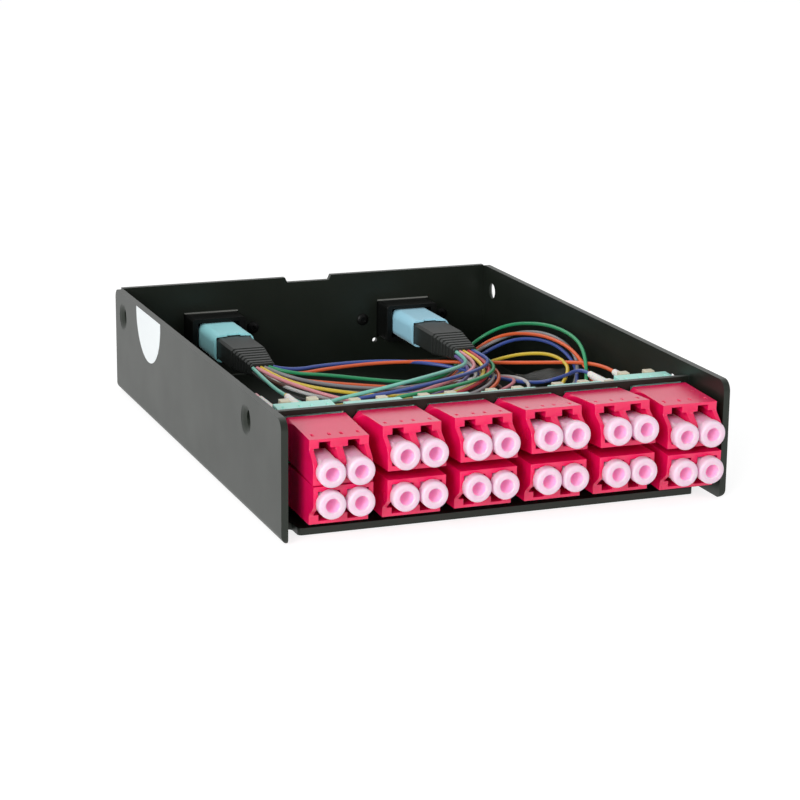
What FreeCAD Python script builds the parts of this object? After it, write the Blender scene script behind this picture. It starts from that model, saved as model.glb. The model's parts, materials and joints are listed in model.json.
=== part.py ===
# Fibre cassette: an open steel tray that breaks two 12-fibre MPO connectors out to 24 LC ports.
# Frame: +X right, +Y to the back, +Z up. Origin at the middle of the tray's underside. Millimetres.
import FreeCAD, Part

import math
import os

import Sketcher
from FreeCAD import Placement, Rotation, Vector

doc = FreeCAD.newDocument("FibreCassette")
params = doc.addObject("Spreadsheet::Sheet", "Params")

driving = {
    # tray, folded from one sheet
    "trayWidth": 102.0,
    "trayDepth": 135.0,
    "trayHeight": 26.4,
    "sheetThick": 1.5,
    "bendInside": 0.4,
    "wallCorner": 2.5,
    "wallToe": 1.2,
    "cornerSeam": 0.25,
    "backFold": 8.0,
    "baseSetback": 4.9,
    "reliefDepth": 9.6,
    "reliefWidth": 3.8,
    "reliefRound": 1.0,
    "notchWide": 14.2,
    "notchNarrow": 9.6,
    "notchDeep": 1.3,
    "sideHoleDia": 4.0,
    "sinkDia": 6.8,
    "sinkDeep": 0.9,
    "sideHoleFront": 24.0,
    "sideHoleSpacing": 103.5,
    "sideHoleHigh": 20.4,
    "lightHoleDia": 1.3,
    "lightHoleAside": 18.6,
    "lightHoleHigh": 8.0,
    # front panel with its foot on the tray's base
    "panelSetback": 15.2,
    "panelThick": 1.5,
    "panelHigh": 24.0,
    "panelFoot": 9.0,
    "panelGap": 0.05,
    "windowPlay": 0.3,
    # LC duplex adapters
    "leftMargin": 4.4,
    "rightMargin": 1.6,
    "portPitch": 6.25,
    "upperHigh": 18.35,
    "lowerHigh": 8.4,
    "flangePlay": 0.4,
    "adapterWide": 12.9,
    "adapterHigh": 8.9,
    "rearHigh": 8.5,
    "rearLong": 9.7,
    "noseLong": 17.6,
    "stepBack": 2.9,
    "stepTop": 2.1,
    "stepEnd": 4.35,
    "stepHollow": 1.2,
    "stepRound": 2.2,
    "wingGap": 0.1,
    "wingLip": 0.8,
    "wingMiddle": 2.6,
    "wingLong": 5.2,
    "wingShoulder": 1.6,
    "wingCurve": 4.0,
    "axisDrop": 1.05,
    "portSide": 4.7,
    "shoulderRise": 1.2,
    "stemWide": 2.45,
    "roofThick": 0.65,
    "midWall": 1.0,
    "noseSocket": 3.9,
    "passage": 2.6,
    "tickWide": 0.6,
    "tickLong": 1.2,
    "tickDeep": 0.7,
    "tickInset": 2.2,
    "tickInner": 1.3,
    "tickOuter": 4.95,
    # dust plugs
    "plugHeadDia": 5.9,
    "plugHeadLong": 2.6,
    "plugShankSide": 4.3,
    "plugShankChamfer": 0.5,
    "plugShankLong": 8.0,
    "plugHoleDia": 2.9,
    "plugHoleDeep": 7.0,
    "plugGap": 0.1,
    # LC plugs and their boots
    "lcSide": 4.5,
    "lcNoseGap": 0.2,
    "lcTail": 6.8,
    "latchWide": 2.3,
    "latchThick": 0.8,
    "latchStart": 1.2,
    "latchRoot": 0.3,
    "latchUnder": 3.3,
    "latchOver": 4.2,
    "tabHigh": 5.3,
    "tabLong": 2.0,
    "tabGap": 0.8,
    "bootSide": 3.8,
    "bootCollar": 2.5,
    "bootLong": 12.0,
    "bootEndSide": 1.9,
    # MPO adapters in the back wall
    "mpoShare": 0.258,
    "mpoHigh": 13.8,
    "mpoWide": 14.0,
    "mpoTall": 9.6,
    "mpoInside": 7.2,
    "mpoOutside": 11.0,
    "mpoCorner": 0.8,
    "mpoFit": 0.2,
    "keyWide": 3.0,
    "keyTall": 0.8,
    "keyDeep": 5.0,
    "flangeWide": 28.0,
    "flangeTall": 10.4,
    "flangeThick": 2.0,
    "flangeCorner": 1.5,
    "rivetAside": 11.2,
    "rivetDia": 2.2,
    "rivetFit": 0.05,
    "rivetHeadDia": 4.0,
    "rivetHeadHigh": 0.8,
    # MPO plugs
    "housingWide": 8.9,
    "housingTall": 5.5,
    "housingReach": 1.0,
    "ferruleWide": 6.4,
    "ferruleTall": 2.5,
    "ferruleLong": 4.0,
    "sleeveWide": 10.5,
    "sleeveTall": 7.1,
    "sleeveWall": 0.55,
    "sleeveCorner": 1.1,
    "sleeveShown": 12.8,
    "sleeveInside": 2.0,
    "sleevePlay": 0.25,
    "sleeveNotchWide": 3.5,
    "sleeveNotchLong": 0.8,
    "strainWide": 8.8,
    "strainTall": 5.6,
    "strainChamfer": 0.6,
    "strainUnder": 2.5,
    "strainBody": 14.2,
    "strainTaper": 12.0,
    "strainEndWide": 6.2,
    "strainEndTall": 3.0,
    "strainRibs": 7,
    "grooveWide": 0.7,
    "grooveDeep": 0.4,
    # outer dust caps
    "capInside": 5.0,
    "capPlay": 0.2,
    "capWide": 13.0,
    "capTall": 8.6,
    "capLong": 5.0,
    "capGap": 0.1,
    "capCorner": 1.2,
    "fibreSide": 0.78,
    "cutOver": 0.5,
}
for row, (alias, value) in enumerate(driving.items(), start=1):
    params.set(f"A{row}", alias)
    params.set(f"B{row}", str(value))
    params.setAlias(f"B{row}", alias)
doc.recompute()

# How far each adapter lifts (+) or droops (-) at the front in its loose window, in degrees.
upperTilt = [-4.1, 1.5, 2.8, 4.0, 3.5, -2.6]
lowerTilt = [-1.0, -1.0, 0.0, 0.0, 0.0, -3.2]
columns = len(upperTilt)

frontEdge = "-trayDepth/2"
wallInside = "(trayWidth/2 - sheetThick)"
panelFace = "(-trayDepth/2 + panelSetback)"
columnPitch = f"((trayWidth - leftMargin - rightMargin)/{columns})"
arrayShift = "((leftMargin - rightMargin)/2)"
wingOut = f"({columnPitch}/2 - adapterWide/2 - wingGap)"
mpoAside = "(trayWidth*mpoShare)"


def named(words):
    """Puts the sheet's name in front of each alias in an expression."""
    out, word = [], ""
    for letter in words + " ":
        if letter.isalnum():
            word += letter
            continue
        out.append("Params." + word if word in driving else word)
        out.append(letter)
        word = ""
    return "".join(out).strip()


def number(words):
    """The value of an expression of aliases."""
    return float(params.evalExpression(named(words)))


def bind(thing, **rules):
    """Ties properties to expressions; a double underscore stands for a dot."""
    for prop, words in rules.items():
        thing.setExpression(prop.replace("__", "."), named(words))


def sketchOn(body, name, role, offset=None):
    """A sketch on XY, XZ (it faces -Y) or YZ (it faces +X), moved along that direction by offset."""
    sketch = body.newObject("Sketcher::SketchObject", name)
    plane = [f for f in body.Origin.OriginFeatures if f.Role == role + "_Plane"][0]
    sketch.AttachmentSupport = [(plane, "")]
    sketch.MapMode = "FlatFace"
    if offset:
        bind(sketch, AttachmentOffset__Base__z=offset)
    return sketch


def pinPoint(sketch, geo, end, across, up):
    """Holds a point of a sketch at two expressions measured from the sketch's origin."""
    for kind, axis, words in (("DistanceX", -2, across), ("DistanceY", -1, up)):
        if words == "0":
            sketch.addConstraint(Sketcher.Constraint("PointOnObject", geo, end, axis))
            continue
        at = sketch.addConstraint(Sketcher.Constraint(kind, -1, 1, geo, end, number(words)))
        sketch.setExpression(f"Constraints[{at}]", named(words))


def outline(sketch, corners, rounding=None):
    """A closed outline: corners are pairs of expressions, rounding gives the radius at a corner."""
    rounding = rounding or {}
    points = [Vector(number(across), number(up), 0) for across, up in corners]
    count = len(points)
    enter, leave, bends = list(points), list(points), {}
    for i in rounding:
        before = (points[i] - points[i - 1]).normalize()
        after = (points[(i + 1) % count] - points[i]).normalize()
        radius = number(rounding[i])
        run = radius * math.tan(before.getAngle(after) / 2)
        side = 1 if before.cross(after).z > 0 else -1
        enter[i] = points[i] - before * run
        leave[i] = points[i] + after * run
        bends[i] = (enter[i] + Vector(-before.y, before.x, 0) * (side * radius), radius, side)
    lines = []
    for i in range(count):
        lines.append(sketch.addGeometry(Part.LineSegment(leave[i], enter[(i + 1) % count])))
    for i in range(count):
        before, after = lines[i - 1], lines[i]
        if i not in bends:
            sketch.addConstraint(Sketcher.Constraint("Coincident", before, 2, after, 1))
            pinPoint(sketch, after, 1, *corners[i])
            continue
        centre, radius, side = bends[i]
        first, last = (enter[i], leave[i]) if side > 0 else (leave[i], enter[i])
        angles = [math.atan2(p.y - centre.y, p.x - centre.x) for p in (first, last)]
        circle = Part.Circle(centre, Vector(0, 0, 1), radius)
        arc = sketch.addGeometry(Part.ArcOfCircle(circle, *angles))
        corner = sketch.addGeometry(Part.Point(points[i]), True)
        sketch.addConstraint(Sketcher.Constraint("PointOnObject", corner, 1, before))
        sketch.addConstraint(Sketcher.Constraint("PointOnObject", corner, 1, after))
        pinPoint(sketch, corner, 1, *corners[i])
        start, end = (1, 2) if side > 0 else (2, 1)
        sketch.addConstraint(Sketcher.Constraint("Tangent", before, 2, arc, start))
        sketch.addConstraint(Sketcher.Constraint("Tangent", arc, end, after, 1))
        at = sketch.addConstraint(Sketcher.Constraint("Radius", arc, radius))
        sketch.setExpression(f"Constraints[{at}]", named(rounding[i]))


def rectangle(sketch, left, low, right, high, radius=None):
    corners = [(left, low), (right, low), (right, high), (left, high)]
    outline(sketch, corners, {i: radius for i in range(4)} if radius else None)


def centredRectangle(sketch, wide, tall, radius=None, across="", up=""):
    """A rectangle about a centre that lies at across, up."""
    rectangle(
        sketch,
        f"{across} - ({wide})/2",
        f"{up} - ({tall})/2",
        f"{across} + ({wide})/2",
        f"{up} + ({tall})/2",
        radius,
    )


def chamferedRectangle(sketch, wide, tall, chamfer):
    """A rectangle about the origin with its corners cut off at 45 degrees."""
    x, y = f"({wide})/2", f"({tall})/2"
    short = [(x, f"({y} - {chamfer})"), (f"({x} - {chamfer})", y)]
    corners = short + [("-" + across, up) for across, up in reversed(short)]
    outline(sketch, corners + [("-" + across, "-" + up) for across, up in short] + [
        (across, "-" + up) for across, up in reversed(short)
    ])


def circle(sketch, across, up, diameter):
    radius = number(diameter) / 2
    centre = Vector(number(across), number(up), 0)
    geo = sketch.addGeometry(Part.Circle(centre, Vector(0, 0, 1), radius))
    pinPoint(sketch, geo, 3, across, up)
    at = sketch.addConstraint(Sketcher.Constraint("Diameter", geo, 2 * radius))
    sketch.setExpression(f"Constraints[{at}]", named(diameter))


def extrude(body, kind, sketch, name, length, middle=False, turned=False):
    feature = body.newObject("PartDesign::" + kind, name)
    feature.Profile = sketch
    feature.SideType = "Symmetric" if middle else "One side"
    feature.Reversed = turned
    bind(feature, Length=length)
    body.Tip = feature
    return feature


def pad(body, sketch, name, length, middle=False, turned=False):
    """Adds along the sketch's direction, or against it when turned."""
    return extrude(body, "Pad", sketch, name, length, middle, turned)


def pocket(body, sketch, name, length, middle=False, turned=False):
    """Cuts against the sketch's direction, or along it when turned."""
    before = body.Shape.Volume if not body.Shape.isNull() else 0
    feature = extrude(body, "Pocket", sketch, name, length, middle, turned)
    doc.recompute()
    if before and body.Shape.Volume > before - 1e-6:
        raise RuntimeError(f"{body.Label}: {name} cuts nothing")
    return feature


def revolve(body, sketch, name):
    feature = body.newObject("PartDesign::Revolution", name)
    feature.Profile = sketch
    feature.ReferenceAxis = (sketch, ["V_Axis"])
    feature.Angle = 360
    body.Tip = feature
    return feature


def loft(body, name, start, end):
    """Flat sides between two sketches with as many corners."""
    feature = body.newObject("PartDesign::AdditiveLoft", name)
    feature.Profile = start
    feature.Sections = [end]
    feature.Ruled = True
    body.Tip = feature
    doc.recompute()
    return feature


def newBody(name):
    return doc.addObject("PartDesign::Body", name)


def makeTray():
    """Base and side walls are one channel; the back wall folds up from the base between them."""
    body = newBody("tray")
    outerBend = "bendInside + sheetThick"
    channel = sketchOn(body, "channelProfile", "XZ")
    outline(
        channel,
        [
            ("-trayWidth/2", "trayHeight"),
            ("-trayWidth/2", "0"),
            ("trayWidth/2", "0"),
            ("trayWidth/2", "trayHeight"),
            (wallInside, "trayHeight"),
            (wallInside, "sheetThick"),
            ("-" + wallInside, "sheetThick"),
            ("-" + wallInside, "trayHeight"),
        ],
        {1: outerBend, 2: outerBend, 5: "bendInside", 6: "bendInside"},
    )
    pad(body, channel, "channel", "trayDepth", middle=True)
    doc.recompute()

    # the base stops short of the walls' front edges and is relieved beside each fold
    relief = sketchOn(body, "frontReliefProfile", "XY")
    lip = f"({wallInside} - reliefWidth)"
    outline(
        relief,
        [
            ("-" + wallInside, f"{frontEdge} - cutOver"),
            (wallInside, f"{frontEdge} - cutOver"),
            (wallInside, f"{frontEdge} + reliefDepth"),
            (lip, f"{frontEdge} + reliefDepth"),
            (lip, f"{frontEdge} + baseSetback"),
            ("-" + lip, f"{frontEdge} + baseSetback"),
            ("-" + lip, f"{frontEdge} + reliefDepth"),
            ("-" + wallInside, f"{frontEdge} + reliefDepth"),
        ],
        {3: "reliefRound", 4: "reliefRound", 5: "reliefRound", 6: "reliefRound"},
    )
    throughBase = "2*(sheetThick + bendInside + cutOver)"
    pocket(body, relief, "frontRelief", throughBase, middle=True)

    rear = sketchOn(body, "rearOpeningProfile", "XY")
    rectangle(
        rear, "-" + wallInside, "trayDepth/2 - backFold/2", wallInside, "trayDepth/2 + cutOver"
    )
    pocket(body, rear, "rearOpening", throughBase, middle=True)

    # rounded upper corners and toes of the side walls
    rounds = sketchOn(body, "wallCornerProfile", "YZ")
    for end, sign in ((frontEdge, "-"), ("trayDepth/2", "+")):
        back = "+" if sign == "-" else "-"
        outline(
            rounds,
            [
                (end, "trayHeight"),
                (f"{end} {back} wallCorner {back} cutOver", "trayHeight"),
                (f"{end} {back} wallCorner {back} cutOver", "trayHeight + cutOver"),
                (f"{end} {sign} cutOver", "trayHeight + cutOver"),
                (f"{end} {sign} cutOver", "trayHeight - wallCorner - cutOver"),
                (end, "trayHeight - wallCorner - cutOver"),
            ],
            {0: "wallCorner"},
        )
    outline(
        rounds,
        [
            (frontEdge, "0"),
            (f"{frontEdge} + wallToe + cutOver", "0"),
            (f"{frontEdge} + wallToe + cutOver", "-cutOver"),
            (f"{frontEdge} - cutOver", "-cutOver"),
            (f"{frontEdge} - cutOver", "wallToe + cutOver"),
            (frontEdge, "wallToe + cutOver"),
        ],
        {0: "wallToe"},
    )
    pocket(body, rounds, "wallCorners", "trayWidth + 2*cutOver", middle=True)

    fold = sketchOn(body, "backWallProfile", "YZ")
    outline(
        fold,
        [
            ("trayDepth/2 - backFold", "0"),
            ("trayDepth/2", "0"),
            ("trayDepth/2", "trayHeight"),
            ("trayDepth/2 - sheetThick", "trayHeight"),
            ("trayDepth/2 - sheetThick", "sheetThick"),
            ("trayDepth/2 - backFold", "sheetThick"),
        ],
        {1: outerBend, 4: "bendInside"},
    )
    pad(body, fold, "backWall", f"2*({wallInside} - cornerSeam)", middle=True)
    doc.recompute()

    notch = sketchOn(body, "backNotchProfile", "XZ")
    outline(
        notch,
        [
            ("-notchNarrow/2", "trayHeight - notchDeep"),
            ("notchNarrow/2", "trayHeight - notchDeep"),
            ("notchWide/2", "trayHeight"),
            ("notchWide/2", "trayHeight + cutOver"),
            ("-notchWide/2", "trayHeight + cutOver"),
            ("-notchWide/2", "trayHeight"),
        ],
    )
    pocket(body, notch, "backNotch", "trayDepth")

    windows = sketchOn(body, "backWindowProfile", "XZ")
    for side in ("-", "+"):
        centredRectangle(
            windows, "mpoWide + 2*mpoFit", "mpoTall + 2*mpoFit", None, f"{side} {mpoAside}", "mpoHigh"
        )
        for hand in ("-", "+"):
            circle(windows, f"{side} {mpoAside} {hand} rivetAside", "mpoHigh", "rivetDia + 2*rivetFit")
    circle(windows, "lightHoleAside", "lightHoleHigh", "lightHoleDia")
    pocket(body, windows, "backWindows", "trayDepth")

    holes = sketchOn(body, "sideHoleProfile", "YZ")
    firstHole = f"{frontEdge} + sideHoleFront"
    for along in (firstHole, firstHole + " + sideHoleSpacing"):
        circle(holes, along, "sideHoleHigh", "sideHoleDia")
    pocket(body, holes, "sideHoles", "trayWidth + 2*cutOver", middle=True)
    for n, along in enumerate((firstHole, firstHole + " + sideHoleSpacing")):
        for side, place, wide, narrow in (
            ("Left", "-trayWidth/2", "sinkDia/2", "sideHoleDia/2"),
            ("Right", "trayWidth/2 - sinkDeep", "sideHoleDia/2", "sinkDia/2"),
        ):
            sink = body.newObject("PartDesign::SubtractiveCone", f"sink{side}{n + 1}")
            plane = [f for f in body.Origin.OriginFeatures if f.Role == "YZ_Plane"][0]
            sink.AttachmentSupport = [(plane, "")]
            sink.MapMode = "FlatFace"
            bind(
                sink,
                AttachmentOffset__Base__x=along,
                AttachmentOffset__Base__y="sideHoleHigh",
                AttachmentOffset__Base__z=place,
                Radius1=wide,
                Radius2=narrow,
                Height="sinkDeep",
            )
            body.Tip = sink
    return body


def makePanel():
    """A plate with a window for each adapter and a foot folded back along the tray's base."""
    body = newBody("front_panel")
    side = sketchOn(body, "panelProfile", "YZ")
    outline(
        side,
        [
            (panelFace, "sheetThick"),
            (panelFace + " + panelFoot", "sheetThick"),
            (panelFace + " + panelFoot", "sheetThick + panelThick"),
            (panelFace + " + panelThick", "sheetThick + panelThick"),
            (panelFace + " + panelThick", "panelHigh"),
            (panelFace, "panelHigh"),
        ],
        {0: "bendInside + panelThick", 3: "bendInside"},
    )
    pad(body, side, "plate", f"2*({wallInside} - bendInside - panelGap)", middle=True)
    doc.recompute()
    window = sketchOn(body, "windowProfile", "XZ")
    centredRectangle(
        window,
        "adapterWide + 2*windowPlay",
        "rearHigh + 2*windowPlay",
        None,
        f"{arrayShift} - {(columns - 1) / 2}*{columnPitch}",
        "lowerHigh",
    )
    first = pocket(body, window, "window", "trayDepth", middle=True)
    pattern = body.newObject("PartDesign::LinearPattern", "windows")
    pattern.Originals = [first]
    pattern.Direction = (window, ["H_Axis"])
    pattern.Occurrences = columns
    bind(pattern, Length=f"{columns - 1}*{columnPitch}")
    pattern.Direction2 = (window, ["V_Axis"])
    pattern.Occurrences2 = 2
    bind(pattern, Length2="upperHigh - lowerHigh")
    body.Tip = pattern
    return body


def addPort(sketch, side, square=False):
    """A port's outline: a square hole, with the latch's shoulders and stem above it."""
    middle = f"{side} portPitch/2"
    low = "-axisDrop - portSide/2"
    if square:
        centredRectangle(sketch, "portSide", "portSide", None, middle, "-axisDrop")
        return
    shoulder = "-axisDrop + portSide/2 + shoulderRise"
    roof = "adapterHigh/2 - roofThick"
    outline(
        sketch,
        [
            (f"{middle} - portSide/2", low),
            (f"{middle} + portSide/2", low),
            (f"{middle} + portSide/2", shoulder),
            (f"{middle} + stemWide/2", shoulder),
            (f"{middle} + stemWide/2", roof),
            (f"{middle} - stemWide/2", roof),
            (f"{middle} - stemWide/2", shoulder),
            (f"{middle} - portSide/2", shoulder),
        ],
    )


def addTicks(sketch, inset, turned):
    """The four small slots across the latch side, set in from the adapter's end."""
    for across in ("-tickOuter", "-tickInner", "tickInner", "tickOuter"):
        near, far = (inset, f"{inset} + tickLong") if turned else (f"{inset} - tickLong", inset)
        rectangle(sketch, f"{across} - tickWide/2", near, f"{across} + tickWide/2", far)


def makeAdapterFront():
    """Front half: the nose steps back on the latch side, and wings spread to the panel.
    Origin at the middle of the flange's back face, ports towards -Y, latch side up."""
    body = newBody("adapterFrontMaster")
    side = sketchOn(body, "noseProfile", "YZ")
    latchFace = "-(noseLong - stepBack)"
    outline(
        side,
        [
            ("-noseLong", "-adapterHigh/2"),
            ("0", "-adapterHigh/2"),
            ("0", "adapterHigh/2"),
            (latchFace, "adapterHigh/2"),
            (latchFace, "adapterHigh/2 - stepTop"),
            ("-noseLong", "adapterHigh/2 - stepEnd"),
        ],
        {4: "stepHollow", 5: "stepRound"},
    )
    pad(body, side, "nose", "adapterWide", middle=True)
    plan = sketchOn(body, "wingProfile", "XY")
    root, tip = "adapterWide/2", f"(adapterWide/2 + {wingOut})"
    outline(
        plan,
        [
            (tip, "0"),
            ("-" + tip, "0"),
            ("-" + tip, "-wingLip"),
            (f"-{root} - {wingOut}/4", "-wingMiddle"),
            ("-" + root, "-wingLong"),
            (root, "-wingLong"),
            (f"{root} + {wingOut}/4", "-wingMiddle"),
            (tip, "-wingLip"),
        ],
        {3: "wingCurve", 6: "wingCurve"},
    )
    pad(body, plan, "wings", "adapterHigh", middle=True)
    doc.recompute()
    shoulders = sketchOn(body, "shoulderProfile", "XZ")
    out = f"({tip} + cutOver)"
    slope = f"wingShoulder*({wingOut} + cutOver)/{wingOut}"
    for x in ("", "-"):
        for z in ("", "-"):
            outline(
                shoulders,
                [
                    (f"{x}{root}", f"{z}adapterHigh/2"),
                    (f"{x}{out}", f"{z}(adapterHigh/2 - {slope})"),
                    (f"{x}{out}", f"{z}(adapterHigh/2 + cutOver)"),
                    (f"{x}{root}", f"{z}(adapterHigh/2 + cutOver)"),
                ],
            )
    pocket(body, shoulders, "shoulders", "wingLong + cutOver", turned=True)
    ports = sketchOn(body, "portProfile", "XZ", "noseSocket + midWall")
    for x in ("-", "+"):
        addPort(ports, x)
    pocket(body, ports, "ports", "noseLong", turned=True)
    sockets = sketchOn(body, "socketProfile", "XZ")
    for x in ("-", "+"):
        addPort(sockets, x, square=True)
    pocket(body, sockets, "sockets", "noseSocket", turned=True)
    bores = sketchOn(body, "passageProfile", "XZ")
    for x in ("-", "+"):
        centredRectangle(bores, "passage", "passage", None, f"{x} portPitch/2", "-axisDrop")
    pocket(body, bores, "passages", "noseSocket + midWall + cutOver", turned=True)
    ticks = sketchOn(body, "tickProfile", "XY", "adapterHigh/2 - tickDeep")
    addTicks(ticks, latchFace + " + tickInset", True)
    pocket(body, ticks, "ticks", "tickDeep + cutOver", turned=True)
    return body


def makeAdapterRear():
    """Rear half: from the flange through the panel, open to the back."""
    body = newBody("adapterRearMaster")
    block = sketchOn(body, "blockProfile", "XZ")
    centredRectangle(block, "adapterWide", "rearHigh", None, "0", "0")
    pad(body, block, "block", "rearLong", turned=True)
    doc.recompute()
    ports = sketchOn(body, "portProfile", "XZ")
    for x in ("-", "+"):
        addPort(ports, x)
    pocket(body, ports, "ports", "rearLong + cutOver")
    ticks = sketchOn(body, "tickProfile", "XY", "rearHigh/2 - tickDeep/2")
    addTicks(ticks, "rearLong - tickInset", False)
    pocket(body, ticks, "ticks", "tickDeep + cutOver", turned=True)
    return body


def makeDustPlug():
    """Round head outside the port, square shank inside it, blind hole. Origin at the port's mouth."""
    body = newBody("dustPlugMaster")
    round = sketchOn(body, "headProfile", "XZ", "plugGap")
    circle(round, "0", "0", "plugHeadDia")
    pad(body, round, "head", "plugHeadLong - plugGap")
    square = sketchOn(body, "shankProfile", "XZ", "plugGap")
    chamferedRectangle(square, "plugShankSide", "plugShankSide", "plugShankChamfer")
    pad(body, square, "shank", "plugShankLong + plugGap", turned=True)
    doc.recompute()
    hole = sketchOn(body, "holeProfile", "XZ", "plugHeadLong")
    circle(hole, "0", "0", "plugHoleDia")
    pocket(body, hole, "hole", "plugHoleDeep")
    return body


def makeLcPlug():
    """Square housing that ends behind the adapter, with its spring latch and thumb tab above."""
    body = newBody("lcPlugMaster")
    nose = "noseSocket - lcNoseGap"
    block = sketchOn(body, "housingProfile", "XZ", nose)
    centredRectangle(block, "lcSide", "lcSide", None, "0", "0")
    pad(body, block, "housing", f"{nose} + rearLong + lcTail", turned=True)
    latch = sketchOn(body, "latchProfile", "YZ")
    tab = "(rearLong + tabGap)"
    outline(
        latch,
        [
            ("latchStart", "lcSide/2 - latchRoot"),
            ("latchStart + 2*latchThick", "lcSide/2 - latchRoot"),
            ("latchStart + 2*latchThick", "lcSide/2 + latchRoot"),
            (tab, "latchUnder"),
            (f"{tab} + tabLong", "latchUnder"),
            (f"{tab} + tabLong", "tabHigh"),
            (tab, "tabHigh"),
            (tab, "latchOver"),
            ("latchStart", "lcSide/2 + latchThick"),
        ],
    )
    pad(body, latch, "latch", "latchWide", middle=True)
    return body


def makeLcBoot():
    """Short eight-sided boot behind an LC plug: a collar, then a taper to the fibre."""
    body = newBody("lcBootMaster")
    start = "(rearLong + lcTail)"
    bar = sketchOn(body, "barProfile", "XZ", "-" + start)
    chamferedRectangle(bar, "bootSide", "bootSide", f"bootSide/{2 + math.sqrt(2)}")
    pad(body, bar, "bar", "bootLong", turned=True)
    doc.recompute()
    slope = sketchOn(body, "slopeProfile", "YZ")
    outline(
        slope,
        [
            (f"{start} + bootCollar", "bootSide/2"),
            (f"{start} + bootLong", "bootEndSide/2"),
            (f"{start} + bootLong + cutOver", "bootEndSide/2"),
            (f"{start} + bootLong + cutOver", "bootSide/2 + cutOver"),
            (f"{start} + bootCollar", "bootSide/2 + cutOver"),
        ],
    )
    cut = pocket(body, slope, "slope", "2*bootSide", middle=True)
    taper = body.newObject("PartDesign::PolarPattern", "taper")
    taper.Originals = [cut]
    taper.Axis = (slope, ["H_Axis"])
    taper.Angle = 360
    taper.Occurrences = 8
    body.Tip = taper
    return body


# The MPO pieces are drawn about the connector's axis, with their origin on the back wall's outer face.
mpoFace = "(sheetThick + mpoInside)"


def makeMpoAdapter():
    body = newBody("mpoAdapterMaster")
    shell = sketchOn(body, "shellProfile", "XZ", mpoFace)
    centredRectangle(shell, "mpoWide", "mpoTall", "mpoCorner")
    pad(body, shell, "shell", f"{mpoFace} + mpoOutside", turned=True)
    ears = sketchOn(body, "flangeProfile", "XZ")
    centredRectangle(ears, "flangeWide", "flangeTall", "flangeCorner")
    pad(body, ears, "flange", "flangeThick", turned=True)
    doc.recompute()
    through = sketchOn(body, "socketProfile", "XZ")
    centredRectangle(through, "housingWide + 2*mpoFit", "housingTall + 2*mpoFit")
    pocket(body, through, "socket", f"2*({mpoFace} + mpoOutside)", middle=True)
    mouth = sketchOn(body, "mouthProfile", "XZ", mpoFace)
    centredRectangle(mouth, "sleeveWide + 2*sleevePlay", "sleeveTall + 2*sleevePlay")
    pocket(body, mouth, "mouth", "sleeveInside + cutOver")
    key = sketchOn(body, "keyProfile", "XZ", "-mpoOutside")
    rectangle(key, "-keyWide/2", "housingTall/2", "keyWide/2", "housingTall/2 + mpoFit + keyTall")
    pocket(body, key, "keyway", "keyDeep", turned=True)
    holes = sketchOn(body, "rivetHoleProfile", "XZ")
    for side in ("-", ""):
        circle(holes, f"{side}rivetAside", "0", "rivetDia + 2*rivetFit")
    pocket(body, holes, "rivetHoles", "flangeThick + cutOver")
    return body


def makeRivet():
    """Flat-headed at both ends, through the adapter's flange and the back wall."""
    body = newBody("rivetMaster")
    half = sketchOn(body, "rivetProfile", "XY")
    outline(
        half,
        [
            ("0", "-sheetThick - rivetHeadHigh"),
            ("rivetHeadDia/2", "-sheetThick - rivetHeadHigh"),
            ("rivetHeadDia/2", "-sheetThick"),
            ("rivetDia/2", "-sheetThick"),
            ("rivetDia/2", "flangeThick"),
            ("rivetHeadDia/2", "flangeThick"),
            ("rivetHeadDia/2", "flangeThick + rivetHeadHigh"),
            ("0", "flangeThick + rivetHeadHigh"),
        ],
    )
    revolve(body, half, "rivet")
    return body


def makeMpoSleeve():
    """The coupling sleeve, which slides back along the plug against its spring."""
    body = newBody("mpoSleeveMaster")
    ring = sketchOn(body, "ringProfile", "XZ", f"{mpoFace} - sleeveInside")
    centredRectangle(ring, "sleeveWide", "sleeveTall", "sleeveCorner")
    centredRectangle(ring, "sleeveWide - 2*sleeveWall", "sleeveTall - 2*sleeveWall")
    pad(body, ring, "ring", "sleeveInside + sleeveShown")
    doc.recompute()
    nick = sketchOn(body, "nickProfile", "XZ", f"{mpoFace} + sleeveShown")
    rectangle(
        nick, "-sleeveNotchWide/2", "sleeveTall/2 - sleeveWall - cutOver", "sleeveNotchWide/2", "sleeveTall"
    )
    pocket(body, nick, "nick", "sleeveNotchLong")
    return body


strainFace = f"({mpoFace} + sleeveShown - strainUnder)"


def makeMpoPlug():
    """Inner housing with the ferrule at its tip."""
    body = newBody("mpoPlugMaster")
    core = sketchOn(body, "coreProfile", "XZ", strainFace)
    centredRectangle(core, "housingWide", "housingTall")
    pad(body, core, "core", f"{strainFace} + housingReach", turned=True)
    tip = sketchOn(body, "ferruleProfile", "XZ", "-housingReach")
    centredRectangle(tip, "ferruleWide", "ferruleTall")
    pad(body, tip, "ferrule", "ferruleLong", turned=True)
    return body


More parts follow.
